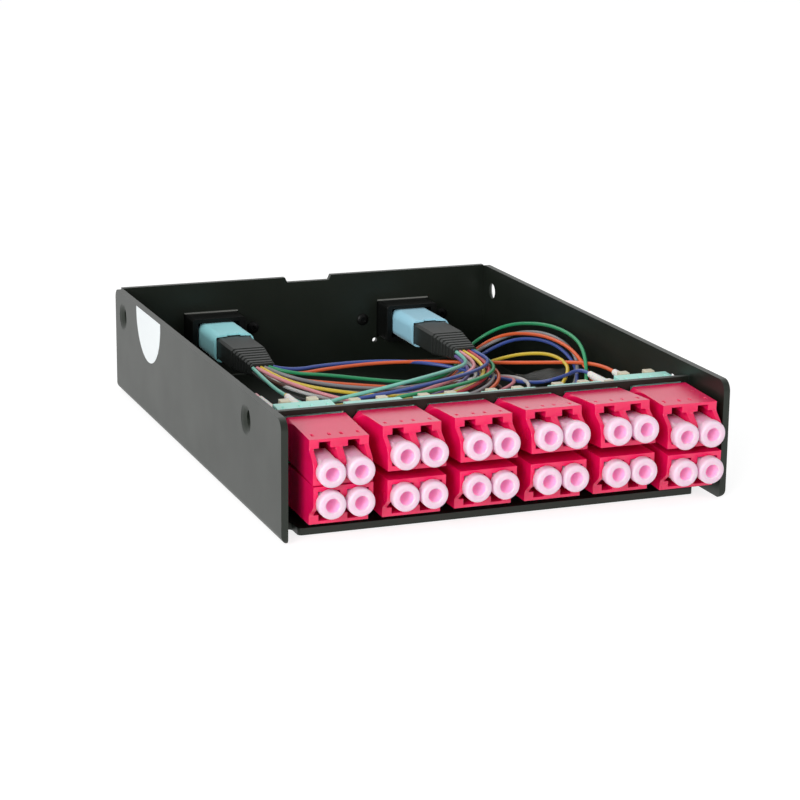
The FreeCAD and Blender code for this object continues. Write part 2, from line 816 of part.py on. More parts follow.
def makeMpoBoot():
    """Strain relief: a plain body, then a taper with grooves across it."""
    body = newBody("mpoBootMaster")
    plain = sketchOn(body, "plainProfile", "XZ", strainFace)
    chamferedRectangle(plain, "strainWide", "strainTall", "strainChamfer")
    pad(body, plain, "plain", "strainBody")
    start = sketchOn(body, "taperStart", "XZ", f"{strainFace} + strainBody")
    chamferedRectangle(start, "strainWide", "strainTall", "strainChamfer")
    end = sketchOn(body, "taperEnd", "XZ", f"{strainFace} + strainBody + strainTaper")
    chamferedRectangle(end, "strainEndWide", "strainEndTall", "strainChamfer")
    loft(body, "taper", start, end)
    doc.recompute()
    ribs = int(number("strainRibs"))
    for n in range(ribs):
        share = f"{n + 0.5}/strainRibs"
        at = f"{strainFace} + strainBody + strainTaper*{share}"
        groove = sketchOn(body, f"grooveProfile{n + 1}", "XZ", f"{at} - grooveWide/2")
        centredRectangle(groove, "strainWide + 2*cutOver", "strainTall + 2*cutOver")
        centredRectangle(
            groove,
            f"strainWide - (strainWide - strainEndWide)*{share} - 2*grooveDeep",
            f"strainTall - (strainTall - strainEndTall)*{share} - 2*grooveDeep",
        )
        pocket(body, groove, f"groove{n + 1}", "grooveWide", turned=True)
    return body


def makeMpoCap():
    """Dust cap in the adapter's outer end."""
    body = newBody("mpoCapMaster")
    head = sketchOn(body, "headProfile", "XZ", "-(mpoOutside + capGap)")
    centredRectangle(head, "capWide", "capTall", "capCorner")
    pad(body, head, "head", "capLong", turned=True)
    stub = sketchOn(body, "stubProfile", "XZ", "-(mpoOutside + capGap)")
    centredRectangle(stub, "housingWide + 2*mpoFit - 2*capPlay", "housingTall + 2*mpoFit - 2*capPlay")
    pad(body, stub, "stub", "capInside")
    return body


# ---------------------------------------------------------------- assembly

kept = []


def place(name, master, placement):
    """A named piece: a link to its master, put where it belongs."""
    piece = doc.addObject("App::Link", name)
    piece.Label = name
    piece.LinkedObject = master
    piece.Placement = placement
    kept.append(piece)
    return piece


def group(name, master, placements):
    """Identical pieces that share one node, as separate solids."""
    links = []
    for n, placement in enumerate(placements, start=1):
        link = doc.addObject("App::Link", f"{name}_{n:02d}")
        link.LinkedObject = master
        link.Placement = placement
        links.append(link)
    compound = doc.addObject("Part::Compound", name)
    compound.Label = name
    compound.Links = links
    kept.append(compound)
    return compound


def adapterPlacement(upper, column):
    """The lower row hangs latch side down, and each adapter leans by its own tilt."""
    tilt = (upperTilt if upper else lowerTilt)[column]
    across = number(f"{arrayShift} + ({column - (columns - 1) / 2})*{columnPitch}")
    middle = Vector(across, number(f"{panelFace} - flangePlay"), number("upperHigh" if upper else "lowerHigh"))
    roll = Rotation(Vector(0, 1, 0), 0 if upper else 180)
    return Placement(middle, Rotation(Vector(1, 0, 0), -tilt) * roll)


def portPlacements(upper, along):
    """A port's own frame in each adapter of a row, from left to right."""
    out = []
    for column in range(columns):
        for side in (-1, 1):
            inward = side if upper else -side
            at = Vector(inward * number("portPitch") / 2, number(along), -number("axisDrop"))
            out.append(adapterPlacement(upper, column) * Placement(at, Rotation()))
    return out


tray = makeTray()
panel = makePanel()
kept += [tray, panel]
adapterFront, adapterRear = makeAdapterFront(), makeAdapterRear()
dustPlug, lcPlug, lcBoot = makeDustPlug(), makeLcPlug(), makeLcBoot()
doc.recompute()
for row, upper in (("upper", True), ("lower", False)):
    placements = [adapterPlacement(upper, column) for column in range(columns)]
    for n, placement in enumerate(placements, start=1):
        place(f"adapter_front_{row}_{n}", adapterFront, placement)
    group(f"adapter_rears_{row}", adapterRear, placements)
    for n, placement in enumerate(portPlacements(upper, "-noseLong"), start=1):
        place(f"dust_plug_{row}_{n:02d}", dustPlug, placement)
    group(f"lc_plugs_{row}", lcPlug, portPlacements(upper, "0"))
    group(f"lc_boots_{row}", lcBoot, portPlacements(upper, "0"))

mpoAdapter, rivet, mpoCap = makeMpoAdapter(), makeRivet(), makeMpoCap()
mpoSleeve, mpoPlug, mpoBoot = makeMpoSleeve(), makeMpoPlug(), makeMpoBoot()
doc.recompute()
mpoPlaces = {
    side: Placement(Vector(sign * number(mpoAside), number("trayDepth/2"), number("mpoHigh")), Rotation())
    for side, sign in (("left", -1), ("right", 1))
}
for side, placement in mpoPlaces.items():
    for name, master in (
        ("mpo_adapter", mpoAdapter),
        ("mpo_sleeve", mpoSleeve),
        ("mpo_plug", mpoPlug),
        ("mpo_boot", mpoBoot),
        ("mpo_cap", mpoCap),
    ):
        place(f"{name}_{side}", master, placement)
rivetPlaces = []
for placement in mpoPlaces.values():
    for hand in (-1, 1):
        aside = Placement(Vector(hand * number("rivetAside"), 0, 0), Rotation())
        rivetPlaces.append(placement * aside)
group("mpo_rivets", rivet, rivetPlaces)
doc.recompute()


# ---------------------------------------------------------------- fan-out fibres

# Each connector feeds six lanes of fibres side by side, on a lower and an upper level. A waypoint is the
# first lane's place on the lower level, with what each further lane and the upper level add to it. The
# places are drawn in a tray of drawn's width and depth, and follow it when its size changes.
drawn = {"trayWidth": 102.0, "trayDepth": 135.0, "portsEnd": -8.0, "connectorsEnd": 22.2}
rightFan = [
    ((23.8, 22.2, 13.3), (1.0, 0, 0), (0, 0, 1.0)),
    ((23.8, 15.5, 13.2), (1.06, -0.35, 0), (0, 0, 1.3)),
    ((20.0, 5.0, 12.9), (1.3, -1.1, 0.1), (0, 0, 2.6)),
    ((9.0, -5.0, 12.5), (0.9, -1.15, 0.2), (0, 0, 3.8)),
]
# its lanes then run along behind the boots, the first two further than the others, and turn in to a port
boots = ((-2.0, -10.2, 11.8), (0.5, -1.1, 0.2), (0, 0, 4.7))
lastBoots = ((-20.0, -10.8, 11.2), (0, -1.05, 0), (0, 0, 5.4))
turnIn = (0, -11.0, 11.2)
leftFan = [
    ((-23.8, 22.2, 13.3), (-1.0, 0, 0), (0, 0, 1.0)),
    ((-23.6, 16.8, 12.9), (-1.15, -0.7, 0), (0, 0, 1.2)),
    ((-19.6, 14.6, 12.4), (-0.7, -1.5, 0), (0, 0, 1.2)),
    ((-11.0, 17.5, 11.4), (0.1, -1.5, -0.1), (0, 0, 1.2)),
    ((8.0, 33.0, 8.9), (0.3, -1.4, 0), (0, 0, 1.2)),
    ((27.0, 41.5, 8.1), (0, -1.3, 0), (0, 0, 1.2)),
    ((42.0, 43.0, 9.6), (-0.9, -1.6, 0), (0, 0, 1.3)),
    ((46.0, 31.0, 13.4), (-1.15, -0.6, -0.6), (0, 0, 1.4)),
    ((46.3, 12.0, 18.2), (-1.3, -0.2, -1.45), (0, 0, 1.5)),
]
# the left connector's lanes end at ports on the right, and part on the way down to them
leftFanEnds = [
    [((45.6, -8.0, 16.6), 2.0)],
    [((42.0, -6.0, 14.6), 2.0)],
    [((36.5, -3.5, 12.2), 2.0)],
    [((31.5, -3.0, 10.4), 2.0)],
    [((27.0, -2.5, 9.2), 1.6), ((16.5, -9.5, 9.0), 2.2)],
    [((22.0, -2.0, 8.6), 1.4), ((11.0, -10.5, 8.3), 1.5)],
]
lanes = len(leftFanEnds)


def portAxis(upper, n, beyond):
    """The point on a port's axis that lies beyond the end of its boot."""
    along = f"rearLong + lcTail + bootLong + {beyond}"
    return portPlacements(upper, along)[n].Base


def follow(x, y):
    """Widths follow the tray's; depths follow the ports in front, the connectors behind, and both between."""
    wider = number("trayWidth") / drawn["trayWidth"]
    deeper = (number("trayDepth") - drawn["trayDepth"]) / 2
    share = (y - drawn["portsEnd"]) / (drawn["connectorsEnd"] - drawn["portsEnd"])
    return x * wider, y + deeper * (2 * min(max(share, 0), 1) - 1)


def waypoint(first, perLane, lift, lane, upper):
    return Vector(*follow(*first[:2]), first[2]) + Vector(*perLane) * lane + Vector(*lift) * upper


def spread(fan, lane, upper):
    return [waypoint(first, perLane, lift, lane, upper) for first, perLane, lift in fan]


def rightRoute(lane, upper):
    """From the right connector forward and left along the boots, to the ports of the first columns."""
    route = spread(rightFan, lane, upper)
    if lane < lanes - 1:
        route += spread([boots], lane, upper)
    if lane < 2:
        route += spread([lastBoots], lane, upper)
    straight = portAxis(upper, lane, 4.2 + 0.9 * (lanes - 1 - lane))
    end = portAxis(upper, lane, 0)
    turn = waypoint(turnIn, (0, -1.05, 0), (0, 0, 5.4), lane, upper)
    turn.x = end.x + 4.5
    turn.z = (turn.z + straight.z) / 2 + (2.0 if lane == lanes - 1 and not upper else 0)
    return route + [turn, straight, end]


def leftRoute(lane, upper):
    """From the left connector under the right one, round the right side and to the last columns."""
    route = spread(leftFan, lane, upper)
    route += [waypoint(low, (0, 0, 0), (0, 0, lift), lane, upper) for low, lift in leftFanEnds[lane]]
    n = 2 * columns - 1 - lane
    return route + [portAxis(upper, n, 5.2), portAxis(upper, n, 0)]


def fibre(route):
    """A plain square-sided tube: straight runs joined by arcs tangent to them."""
    side = number("fibreSide")
    ahead = (route[1] - route[0]).normalize()
    across = ahead.cross(Vector(0, 0, 1)).normalize() * (side / 2)
    upward = across.cross(ahead).normalize() * (side / 2)
    ring = [across + upward, upward - across, -across - upward, across - upward]
    at, pieces, length, radii = route[0], [], 0, []

    def section():
        corners = [at + corner for corner in ring]
        return Part.Face(Part.makePolygon(corners + corners[:1]))

    for before, corner, after in zip(route, route[1:], route[2:]):
        into, out = (corner - before).normalize(), (after - corner).normalize()
        turn = into.getAngle(out)
        cut = 0.45 * min((corner - before).Length, (after - corner).Length)
        radius = cut / math.tan(turn / 2)
        start = corner - into * cut
        pieces.append(section().extrude(start - at))
        length += (start - at).Length
        axis = into.cross(out).normalize()
        centre = start + axis.cross(into) * radius
        at = start
        pieces.append(section().revolve(centre, axis, math.degrees(turn)))
        bend = Rotation(axis, math.degrees(turn))
        ring = [bend.multVec(spoke) for spoke in ring]
        at = corner + out * cut
        length += turn * radius
        radii.append(radius)
    pieces.append(section().extrude(route[-1] - at))
    length += (route[-1] - at).Length
    solid = pieces[0].multiFuse(pieces[1:])
    if len(solid.Solids) != 1 or abs(solid.Volume / (length * side**2) - 1) > 0.01:
        raise RuntimeError(f"A fibre from {route[0]} isn't one whole tube")
    print(f"fibre {length:.0f} mm long, bends of {min(radii):.1f} mm and more")
    return solid.Solids[0]


for name, route in (("fibres_right", rightRoute), ("fibres_left", leftRoute)):
    bundle = doc.addObject("Part::Feature", name)
    bundle.Shape = Part.Compound([fibre(route(lane, upper)) for upper in (0, 1) for lane in range(lanes)])
    kept.append(bundle)


# ---------------------------------------------------------------- checks and export

doc.recompute()
for thing in doc.Objects:
    if {"Invalid", "Error"} & set(thing.State):
        raise RuntimeError(f"{thing.Label} did not compute: {thing.State}")
os.makedirs("parts", exist_ok=True)
for piece in kept:
    shape = Part.getShape(piece)
    if shape.isNull() or not shape.isValid():
        raise RuntimeError(f"{piece.Label} has no valid shape")
    shape.exportStep(f"parts/{piece.Label}.step")
    print(f"{piece.Label}: {len(shape.Solids)} solids, {shape.Volume:.1f} mm3")
print(f"{len(kept)} pieces")
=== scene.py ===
import json
import math

import bmesh
import bpy
from mathutils import Matrix, Vector


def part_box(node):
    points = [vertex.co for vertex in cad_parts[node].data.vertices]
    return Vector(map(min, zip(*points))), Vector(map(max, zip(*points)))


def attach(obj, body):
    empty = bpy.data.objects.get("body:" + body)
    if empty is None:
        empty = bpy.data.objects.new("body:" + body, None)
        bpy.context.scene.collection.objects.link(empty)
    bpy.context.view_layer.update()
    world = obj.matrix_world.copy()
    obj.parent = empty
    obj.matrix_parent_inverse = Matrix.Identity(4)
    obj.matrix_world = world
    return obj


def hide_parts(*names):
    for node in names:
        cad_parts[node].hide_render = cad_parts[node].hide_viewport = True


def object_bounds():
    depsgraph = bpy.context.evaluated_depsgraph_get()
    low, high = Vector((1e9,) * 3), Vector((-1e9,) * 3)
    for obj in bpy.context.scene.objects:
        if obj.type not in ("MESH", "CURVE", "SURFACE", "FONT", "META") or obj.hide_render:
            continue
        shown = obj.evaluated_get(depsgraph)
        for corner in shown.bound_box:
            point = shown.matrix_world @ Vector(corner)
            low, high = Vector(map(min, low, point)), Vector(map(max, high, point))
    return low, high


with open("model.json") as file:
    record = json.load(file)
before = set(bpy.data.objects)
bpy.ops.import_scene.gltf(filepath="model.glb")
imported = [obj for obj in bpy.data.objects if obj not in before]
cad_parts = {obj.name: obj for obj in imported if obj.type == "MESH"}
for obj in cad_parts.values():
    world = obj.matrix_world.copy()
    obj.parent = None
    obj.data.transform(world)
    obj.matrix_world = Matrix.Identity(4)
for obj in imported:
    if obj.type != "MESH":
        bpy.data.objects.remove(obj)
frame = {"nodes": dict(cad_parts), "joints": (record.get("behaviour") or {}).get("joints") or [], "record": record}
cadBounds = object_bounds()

mm = 0.001
weld = 0.001 * mm  # corners nearer to each other than this are one corner
nodes = frame["nodes"]
scene = bpy.context.scene
bodies = frame["record"]["behaviour"]["bodies"]
bodyOf = {node: body for body, members in bodies.items() for node in members}
pullAxis = {joint["child"]: Vector(joint["axis"]) for joint in frame["joints"]}
print("cassette loaded:", len(nodes), "nodes,", len(pullAxis), "moving pieces")


def shaderOf(material):
    return material.node_tree.nodes["Principled BSDF"]


def newMaterial(name, color, roughness, sockets=None):
    # a plain shader, with more of its sockets set by name
    material = bpy.data.materials.new(name)
    material.use_nodes = True
    shader = shaderOf(material)
    shader.inputs["Base Color"].default_value = (*color, 1)
    shader.inputs["Roughness"].default_value = roughness
    for socket, value in (sockets or {}).items():
        shader.inputs[socket].default_value = value
    return material


def addNode(material, kind, values=None):
    node = material.node_tree.nodes.new(kind)
    for socket, value in (values or {}).items():
        node.inputs[socket].default_value = value
    return node


grain = {"strength": 0.6, "fineDetail": 3.0, "cloudsPerMetre": 90.0, "cloudDetail": 2.0}


def addGrain(material, size, depth, gloss):
    # moulded or sprayed surface: fine bumps, and gloss that wanders between two values
    tree = material.node_tree
    shader = shaderOf(material)
    place = addNode(material, "ShaderNodeTexCoord")
    fine = {"Scale": 1 / size, "Detail": grain["fineDetail"]}
    speckle = addNode(material, "ShaderNodeTexNoise", fine)
    bump = addNode(material, "ShaderNodeBump", {"Strength": grain["strength"], "Distance": depth})
    tree.links.new(place.outputs["Object"], speckle.inputs["Vector"])
    tree.links.new(speckle.outputs["Fac"], bump.inputs["Height"])
    tree.links.new(bump.outputs["Normal"], shader.inputs["Normal"])
    broad = {"Scale": grain["cloudsPerMetre"], "Detail": grain["cloudDetail"]}
    cloud = addNode(material, "ShaderNodeTexNoise", broad)
    spread = addNode(material, "ShaderNodeMapRange", {"To Min": gloss[0], "To Max": gloss[1]})
    tree.links.new(place.outputs["Object"], cloud.inputs["Vector"])
    tree.links.new(cloud.outputs["Fac"], spread.inputs["Value"])
    tree.links.new(spread.outputs["Result"], shader.inputs["Roughness"])


def addMottle(material, dark, light, size):
    # slow drift between two close tones
    tree = material.node_tree
    place = addNode(material, "ShaderNodeTexCoord")
    cloud = addNode(material, "ShaderNodeTexNoise", {"Scale": 1 / size, "Detail": 4.0})
    ramp = addNode(material, "ShaderNodeValToRGB")
    for stop, share, tone in zip(ramp.color_ramp.elements, (0.35, 0.65), (dark, light)):
        stop.position = share
        stop.color = (*tone, 1)
    tree.links.new(place.outputs["Object"], cloud.inputs["Vector"])
    tree.links.new(cloud.outputs["Fac"], ramp.inputs["Fac"])
    tree.links.new(ramp.outputs["Color"], shaderOf(material).inputs["Base Color"])


def addPiece(name, mesh, material, body, replaced=()):
    # a mesh with one finish, which rides on a body and may stand in for nodes
    piece = bpy.data.objects.new(name, mesh)
    scene.collection.objects.link(piece)
    mesh.materials.clear()
    mesh.materials.append(material)
    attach(piece, body)
    if replaced:
        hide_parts(*replaced)
    return piece


def standCopy(name, mesh, materials, body, place, outward, upright="X"):
    # a copy of a turned piece, stood at a place with its own Z pointing outward
    piece = bpy.data.objects.new(name, mesh.copy())
    turn = outward.to_track_quat("Z", upright).to_matrix().to_4x4()
    piece.matrix_world = Matrix.Translation(place) @ turn
    scene.collection.objects.link(piece)
    for material in materials:
        piece.data.materials.append(material)
    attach(piece, body)
    return piece


edging = {"flatAngle": 0.6, "sharpAngle": 35, "broadFaceWeight": 90}  # angles in degrees


def roundEdges(nodeName, material, radius, segments=2, reshape=None):
    # the same solid with its moulded or folded edges rounded over
    mesh = nodes[nodeName].data.copy()
    work = bmesh.new()
    work.from_mesh(mesh)
    bmesh.ops.remove_doubles(work, verts=work.verts, dist=weld)
    flat = math.radians(edging["flatAngle"])
    bmesh.ops.dissolve_limit(work, angle_limit=flat, verts=work.verts, edges=work.edges)
    if reshape:
        reshape(work)
    bmesh.ops.recalc_face_normals(work, faces=work.faces)
    work.to_mesh(mesh)
    work.free()
    mesh.shade_smooth()
    piece = addPiece(nodeName + "_piece", mesh, material, bodyOf[nodeName], (nodeName,))
    edges = piece.modifiers.new("edges", "BEVEL")
    edges.width = radius
    edges.segments = segments
    edges.limit_method = "ANGLE"
    edges.angle_limit = math.radians(edging["sharpAngle"])
    edges.use_clamp_overlap = True
    flats = piece.modifiers.new("flats", "WEIGHTED_NORMAL")  # keeps the broad faces flat in the light
    flats.weight = edging["broadFaceWeight"]
    return piece


def lathe(work, profile, sides):
    # turns radius and height pairs about Z
    rings = []
    for radius, height in profile:
        if radius == 0:
            rings.append([work.verts.new((0, 0, height))])
            continue
        ring = []
        for n in range(sides):
            turn = 2 * math.pi * n / sides
            ring.append(work.verts.new((radius * math.cos(turn), radius * math.sin(turn), height)))
        rings.append(ring)
    for low, high in zip(rings, rings[1:]):
        for n in range(sides):
            after = (n + 1) % sides
            if len(low) == 1:
                work.faces.new((low[0], high[after], high[n]))
            elif len(high) == 1:
                work.faces.new((low[n], low[after], high[0]))
            else:
                work.faces.new((low[n], low[after], high[after], high[n]))


def arc(across, height, radius, start, end, steps):
    # the points of a rounded corner in a lathe's profile, between two angles in degrees
    points = []
    for n in range(steps + 1):
        turn = math.radians(start + (end - start) * n / steps)
        points.append((across + radius * math.cos(turn), height + radius * math.sin(turn)))
    return points


def finishMesh(work, name, smooth=True, sharp=None):
    # closes the work into a mesh; edges sharper than the angle stay crisp
    bmesh.ops.recalc_face_normals(work, faces=work.faces)
    mesh = bpy.data.meshes.new(name)
    work.to_mesh(mesh)
    work.free()
    if smooth:
        mesh.shade_smooth()
    if sharp:
        mesh.set_sharp_from_angle(angle=math.radians(sharp))
    return mesh


steel = {
    "tone": (0.0052, 0.0075, 0.0050),
    "darkTone": (0.0040, 0.0060, 0.0038),
    "lightTone": (0.0068, 0.0095, 0.0065),
    "driftSize": 20 * mm,
    "grainSize": 0.45 * mm,
    "grainDepth": 0.02 * mm,
    "gloss": (0.38, 0.46),
    "specular": 0.5,
    "specularTint": (0.93, 1.0, 0.92, 1),
    "edgeRadius": 0.22 * mm,
    "backWall": 65.9 * mm,  # the back wall starts just behind this
    "seam": (49.0 * mm, 49.3 * mm),  # its two ends lie between these, to either side
    "seamClosed": 49.49 * mm,
    "notchSide": 8 * mm,  # the notch in its top lies within this of the middle
    "notchAbove": 24.5 * mm,
    "rimHigh": 0.2 * mm,  # how far below the top its upper corners may be
    "notchTop": 6.3 * mm,
    "notchFloor": 5.7 * mm,
}
coatedSteel = newMaterial("coatedSteel", steel["tone"], 0.42, {"Specular IOR Level": steel["specular"]})
shaderOf(coatedSteel).inputs["Specular Tint"].default_value = steel["specularTint"]
addMottle(coatedSteel, steel["darkTone"], steel["lightTone"], steel["driftSize"])
addGrain(coatedSteel, steel["grainSize"], steel["grainDepth"], steel["gloss"])


def closeBackWall(work):
    # paint fills the seams beside the back wall, and the notch in its top has steep sides
    rim = max(vert.co.z for vert in work.verts) - steel["rimHigh"]
    near, far = steel["seam"]
    for vert in work.verts:
        place = vert.co
        if place.y < steel["backWall"]:
            continue
        hand = math.copysign(1, place.x)
        if near < abs(place.x) < far:
            place.x = hand * steel["seamClosed"]
        elif abs(place.x) < steel["notchSide"] and place.z > steel["notchAbove"]:
            place.x = hand * steel["notchTop" if place.z > rim else "notchFloor"]


roundEdges("tray", coatedSteel, steel["edgeRadius"], 3, reshape=closeBackWall)
roundEdges("front_panel", coatedSteel, steel["edgeRadius"])
print("steel tray and panel done")

# the LC ports in millimetres: six columns of two ports, and how far each adapter leans, in degrees
ports = {
    "columns": 6,
    "pitch": 16.0,
    "aside": 3.125,
    "shift": 1.4,
    "flange": -52.7,
    "bootEnd": 28.5,
    "upper": {"high": 18.35, "drop": -1.05, "tilt": (-4.1, 1.5, 2.8, 4.0, 3.5, -2.6)},
    "lower": {"high": 8.4, "drop": 1.05, "tilt": (-1.0, -1.0, 0, 0, 0, -3.2)},
}


def portAxis(row, port, beyond):
    # the point on a port's axis that lies beyond the end of its boot
    column, hand = divmod(port, 2)
    level = ports[row]
    tilt = Matrix.Rotation(math.radians(-level["tilt"][column]), 3, "X")
    across = ports["shift"] + (column - (ports["columns"] - 1) / 2) * ports["pitch"]
    across += (hand * 2 - 1) * ports["aside"]
    middle = Vector((across, ports["flange"], level["high"]))
    return middle + tilt @ Vector((0, ports["bootEnd"] + beyond, level["drop"]))


adapter = {
    "crimson": (0.80, 0.004, 0.098),
    "crimsonDeep": (0.74, 0.003, 0.086),
    "aqua": (0.40, 0.78, 0.69),
    "driftSize": 8 * mm,
    "edgeRadius": 0.2 * mm,
    "rearStart": -50.9 * mm,
}
crimsonPlastic = newMaterial(
    "crimsonPlastic",
    adapter["crimson"],
    0.34,
    {"Subsurface Weight": 0.12, "Subsurface Scale": 1.5 * mm, "Specular IOR Level": 0.75},
)
addMottle(crimsonPlastic, adapter["crimsonDeep"], adapter["crimson"], adapter["driftSize"])
addGrain(crimsonPlastic, 0.3 * mm, 0.01 * mm, (0.22, 0.30))
aquaPlastic = newMaterial(
    "aquaPlastic", adapter["aqua"], 0.4, {"Subsurface Weight": 0.08, "Subsurface Scale": 1.5 * mm}
)
addGrain(aquaPlastic, 0.3 * mm, 0.01 * mm, (0.34, 0.46))


def startBehindPanel(work):
    # the rear shells begin behind the panel, so that none shows round the fronts
    for vert in work.verts:
        vert.co.y = max(vert.co.y, adapter["rearStart"])


for row in ("upper", "lower"):
    for column in range(ports["columns"]):
        front = f"adapter_front_{row}_{column + 1}"
        roundEdges(front, crimsonPlastic, adapter["edgeRadius"])
    rears = f"adapter_rears_{row}"
    roundEdges(rears, aquaPlastic, adapter["edgeRadius"], reshape=startBehindPanel)
print("adapters done")

dustPlug = {
    "headRadius": 2.95 * mm,
    "headLong": 2.6 * mm,
    "headEdge": 0.5 * mm,
    "gap": 0.1 * mm,
    "shankSide": 4.3 * mm,
    "shankLong": 8.0 * mm,
    "shankEdge": 0.5 * mm,
    "holeRadius": 1.45 * mm,
    "holeDeep": 7.0 * mm,
    "holeEdge": 0.3 * mm,
    "sides": 48,
    "deepFrom": -1.5 * mm,  # below the head, where the colour is deepest
    "paleFrom": 0.85,
    "pale": (0.72, 0.54, 0.64),
    "deep": (0.95, 0.52, 0.72),
    "bore": (0.90, 0.44, 0.66),
    # painted light: the bore glows, standing for light that comes through the rubber
    "borePaintedGlow": 0.15,
}
plugRubber = newMaterial(
    "plugRubber",
    dustPlug["pale"],
    0.36,
    {"Subsurface Weight": 0.85, "Subsurface Scale": 5 * mm, "Subsurface Radius": (1.0, 0.55, 0.8)},
)
# the bore's rubber, with an emission that paints a glow into the bore
boreRubberPaintedGlow = newMaterial(
    "boreRubberPaintedGlow",
    dustPlug["bore"],
    0.5,
    {"Subsurface Weight": 0.5, "Subsurface Scale": 3 * mm, "Emission Strength": dustPlug["borePaintedGlow"]},
)
# the painted glow takes the bore's colour
shaderOf(boreRubberPaintedGlow).inputs["Emission Color"].default_value = (*dustPlug["bore"], 1)
addGrain(boreRubberPaintedGlow, 0.6 * mm, 0.005 * mm, (0.42, 0.55))


def tintPlug(material, size):
    # the rubber is deeper in colour towards the shank
    tree = material.node_tree
    place = addNode(material, "ShaderNodeTexCoord")
    parts = addNode(material, "ShaderNodeSeparateXYZ")
    span = {"From Min": size["deepFrom"], "From Max": size["headLong"]}
    depth = addNode(material, "ShaderNodeMapRange", span)
    ramp = addNode(material, "ShaderNodeValToRGB")
    ramp.color_ramp.elements[0].color = (*size["deep"], 1)
    ramp.color_ramp.elements[1].color = (*size["pale"], 1)
    ramp.color_ramp.elements[1].position = size["paleFrom"]
    tree.links.new(place.outputs["Object"], parts.inputs["Vector"])
    tree.links.new(parts.outputs["Z"], depth.inputs["Value"])
    tree.links.new(depth.outputs["Result"], ramp.inputs["Fac"])
    tree.links.new(ramp.outputs["Color"], shaderOf(material).inputs["Base Color"])


def makePlug(size):
    # a round head with a blind bore, on a square shank
    top, head, hole = size["headLong"], size["headRadius"], size["holeRadius"]
    edge, lip, gap = size["headEdge"], size["holeEdge"], size["gap"]
    profile = [(0, top - size["holeDeep"]), (hole, top - size["holeDeep"])]
    profile += arc(hole + lip, top - lip, lip, 180, 90, 4)
    profile += arc(head - edge, top - edge, edge, 90, 0, 5)
    profile += arc(head - lip, gap + lip, lip, 0, -90, 4)
    profile.append((hole + lip, gap))
    work = bmesh.new()
    lathe(work, profile, size["sides"])
    half, cut = size["shankSide"] / 2, size["shankEdge"]  # the square shank, open towards the head
    corners = [(half, half - cut), (half - cut, half), (cut - half, half), (-half, half - cut)]
    corners += [(-x, -y) for x, y in corners]
    levels = [(gap, 1.0), (cut - size["shankLong"], 1.0), (-size["shankLong"], 1 - cut / half)]
    rings = [[work.verts.new((x * share, y * share, z)) for x, y in corners] for z, share in levels]
    for above, below in zip(rings, rings[1:]):
        for n in range(len(corners)):
            work.faces.new((above[n], above[n - 1], below[n - 1], below[n]))
    work.faces.new(rings[-1])
    for face in work.faces:
        if max(math.hypot(vert.co.x, vert.co.y) for vert in face.verts) < hole + weld:
            face.material_index = 1  # the bore has a rubber of its own, which carries a painted glow
    return finishMesh(work, "dustPlug", sharp=40)


tintPlug(plugRubber, dustPlug)
plugMesh = makePlug(dustPlug)
for row in ("upper", "lower"):
    for port in range(2 * ports["columns"]):
        nodeName = f"dust_plug_{row}_{port + 1:02d}"
        outward = pullAxis[nodeName]
        low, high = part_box(nodeName)
        mouth = (low + high) / 2 + outward * (dustPlug["shankLong"] - dustPlug["headLong"]) / 2
        rubbers = (plugRubber, boreRubberPaintedGlow)
        plug = standCopy(
            nodeName + "_piece", plugMesh, rubbers, bodyOf[nodeName], mouth, outward, "Y"
        )
        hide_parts(nodeName)
print("dust plugs done")

lcPlug = {"beige": (0.62, 0.57, 0.43), "edgeRadius": 0.15 * mm}
beigePlastic = newMaterial(
    "beigePlastic", lcPlug["beige"], 0.4, {"Subsurface Weight": 0.1, "Subsurface Scale": 1 * mm}
)
addGrain(beigePlastic, 0.4 * mm, 0.01 * mm, (0.34, 0.48))
for row in ("upper", "lower"):
    roundEdges(f"lc_plugs_{row}", beigePlastic, lcPlug["edgeRadius"])
print("LC plugs done")

# sizes in millimetres
lcBoot = {
    "white": (0.80, 0.78, 0.74),
    "long": 12.0,
    "collarLong": 2.5,
    "collarRadius": 1.75,
    "neckRadius": 1.3,
    "endRadius": 0.75,
    "endLip": (0.05, 0.9),  # how much wider the end begins, and how long it is
    "edge": 0.2,
    "grooves": 6,
    "plainEnd": 1.0,
    "grooveDeep": 0.14,
    "sides": 32,
}
bootPlastic = newMaterial(
    "bootPlastic", lcBoot["white"], 0.5, {"Subsurface Weight": 0.2, "Subsurface Scale": 1 * mm}
)
addGrain(bootPlastic, 0.4 * mm, 0.01 * mm, (0.42, 0.58))


def makeBoot(size):
    # a collar and a slim taper with shallow grooves round it
    collar, edge, start = size["collarRadius"], size["edge"], size["collarLong"]
    profile = [(0, 0), (collar - edge, 0), (collar, edge), (collar, start - edge), (collar - edge, start)]
    step = (size["long"] - start - size["plainEnd"]) / size["grooves"]
    slope = (size["neckRadius"] - size["endRadius"]) / (size["long"] - start)
    for n in range(size["grooves"]):
        for share, deep in ((0.1, 0), (0.62, 0), (0.7, 1), (0.92, 1)):  # a ring, then a groove
            along = step * (n + share)
            profile.append((size["neckRadius"] - slope * along - deep * size["grooveDeep"], start + along))
    end, tip = size["endRadius"], size["long"]
    wider, lip = size["endLip"]
    profile += [(end + wider, tip - lip), (end, tip - edge), (end - edge, tip), (0, tip)]
    work = bmesh.new()
    lathe(work, [(radius * mm, height * mm) for radius, height in profile], size["sides"])
    return finishMesh(work, "lcBoot", sharp=40)


bootMesh = makeBoot(lcBoot)
for row in ("upper", "lower"):
    for port in range(2 * ports["columns"]):
        start, end = portAxis(row, port, -lcBoot["long"]), portAxis(row, port, 0)
        name = f"lc_boot_{row}_{port + 1:02d}"
        boot = standCopy(name, bootMesh, [bootPlastic], "cassette", start * mm, end - start)
    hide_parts(f"lc_boots_{row}")  # the row's boots are one node
print("LC boots done")

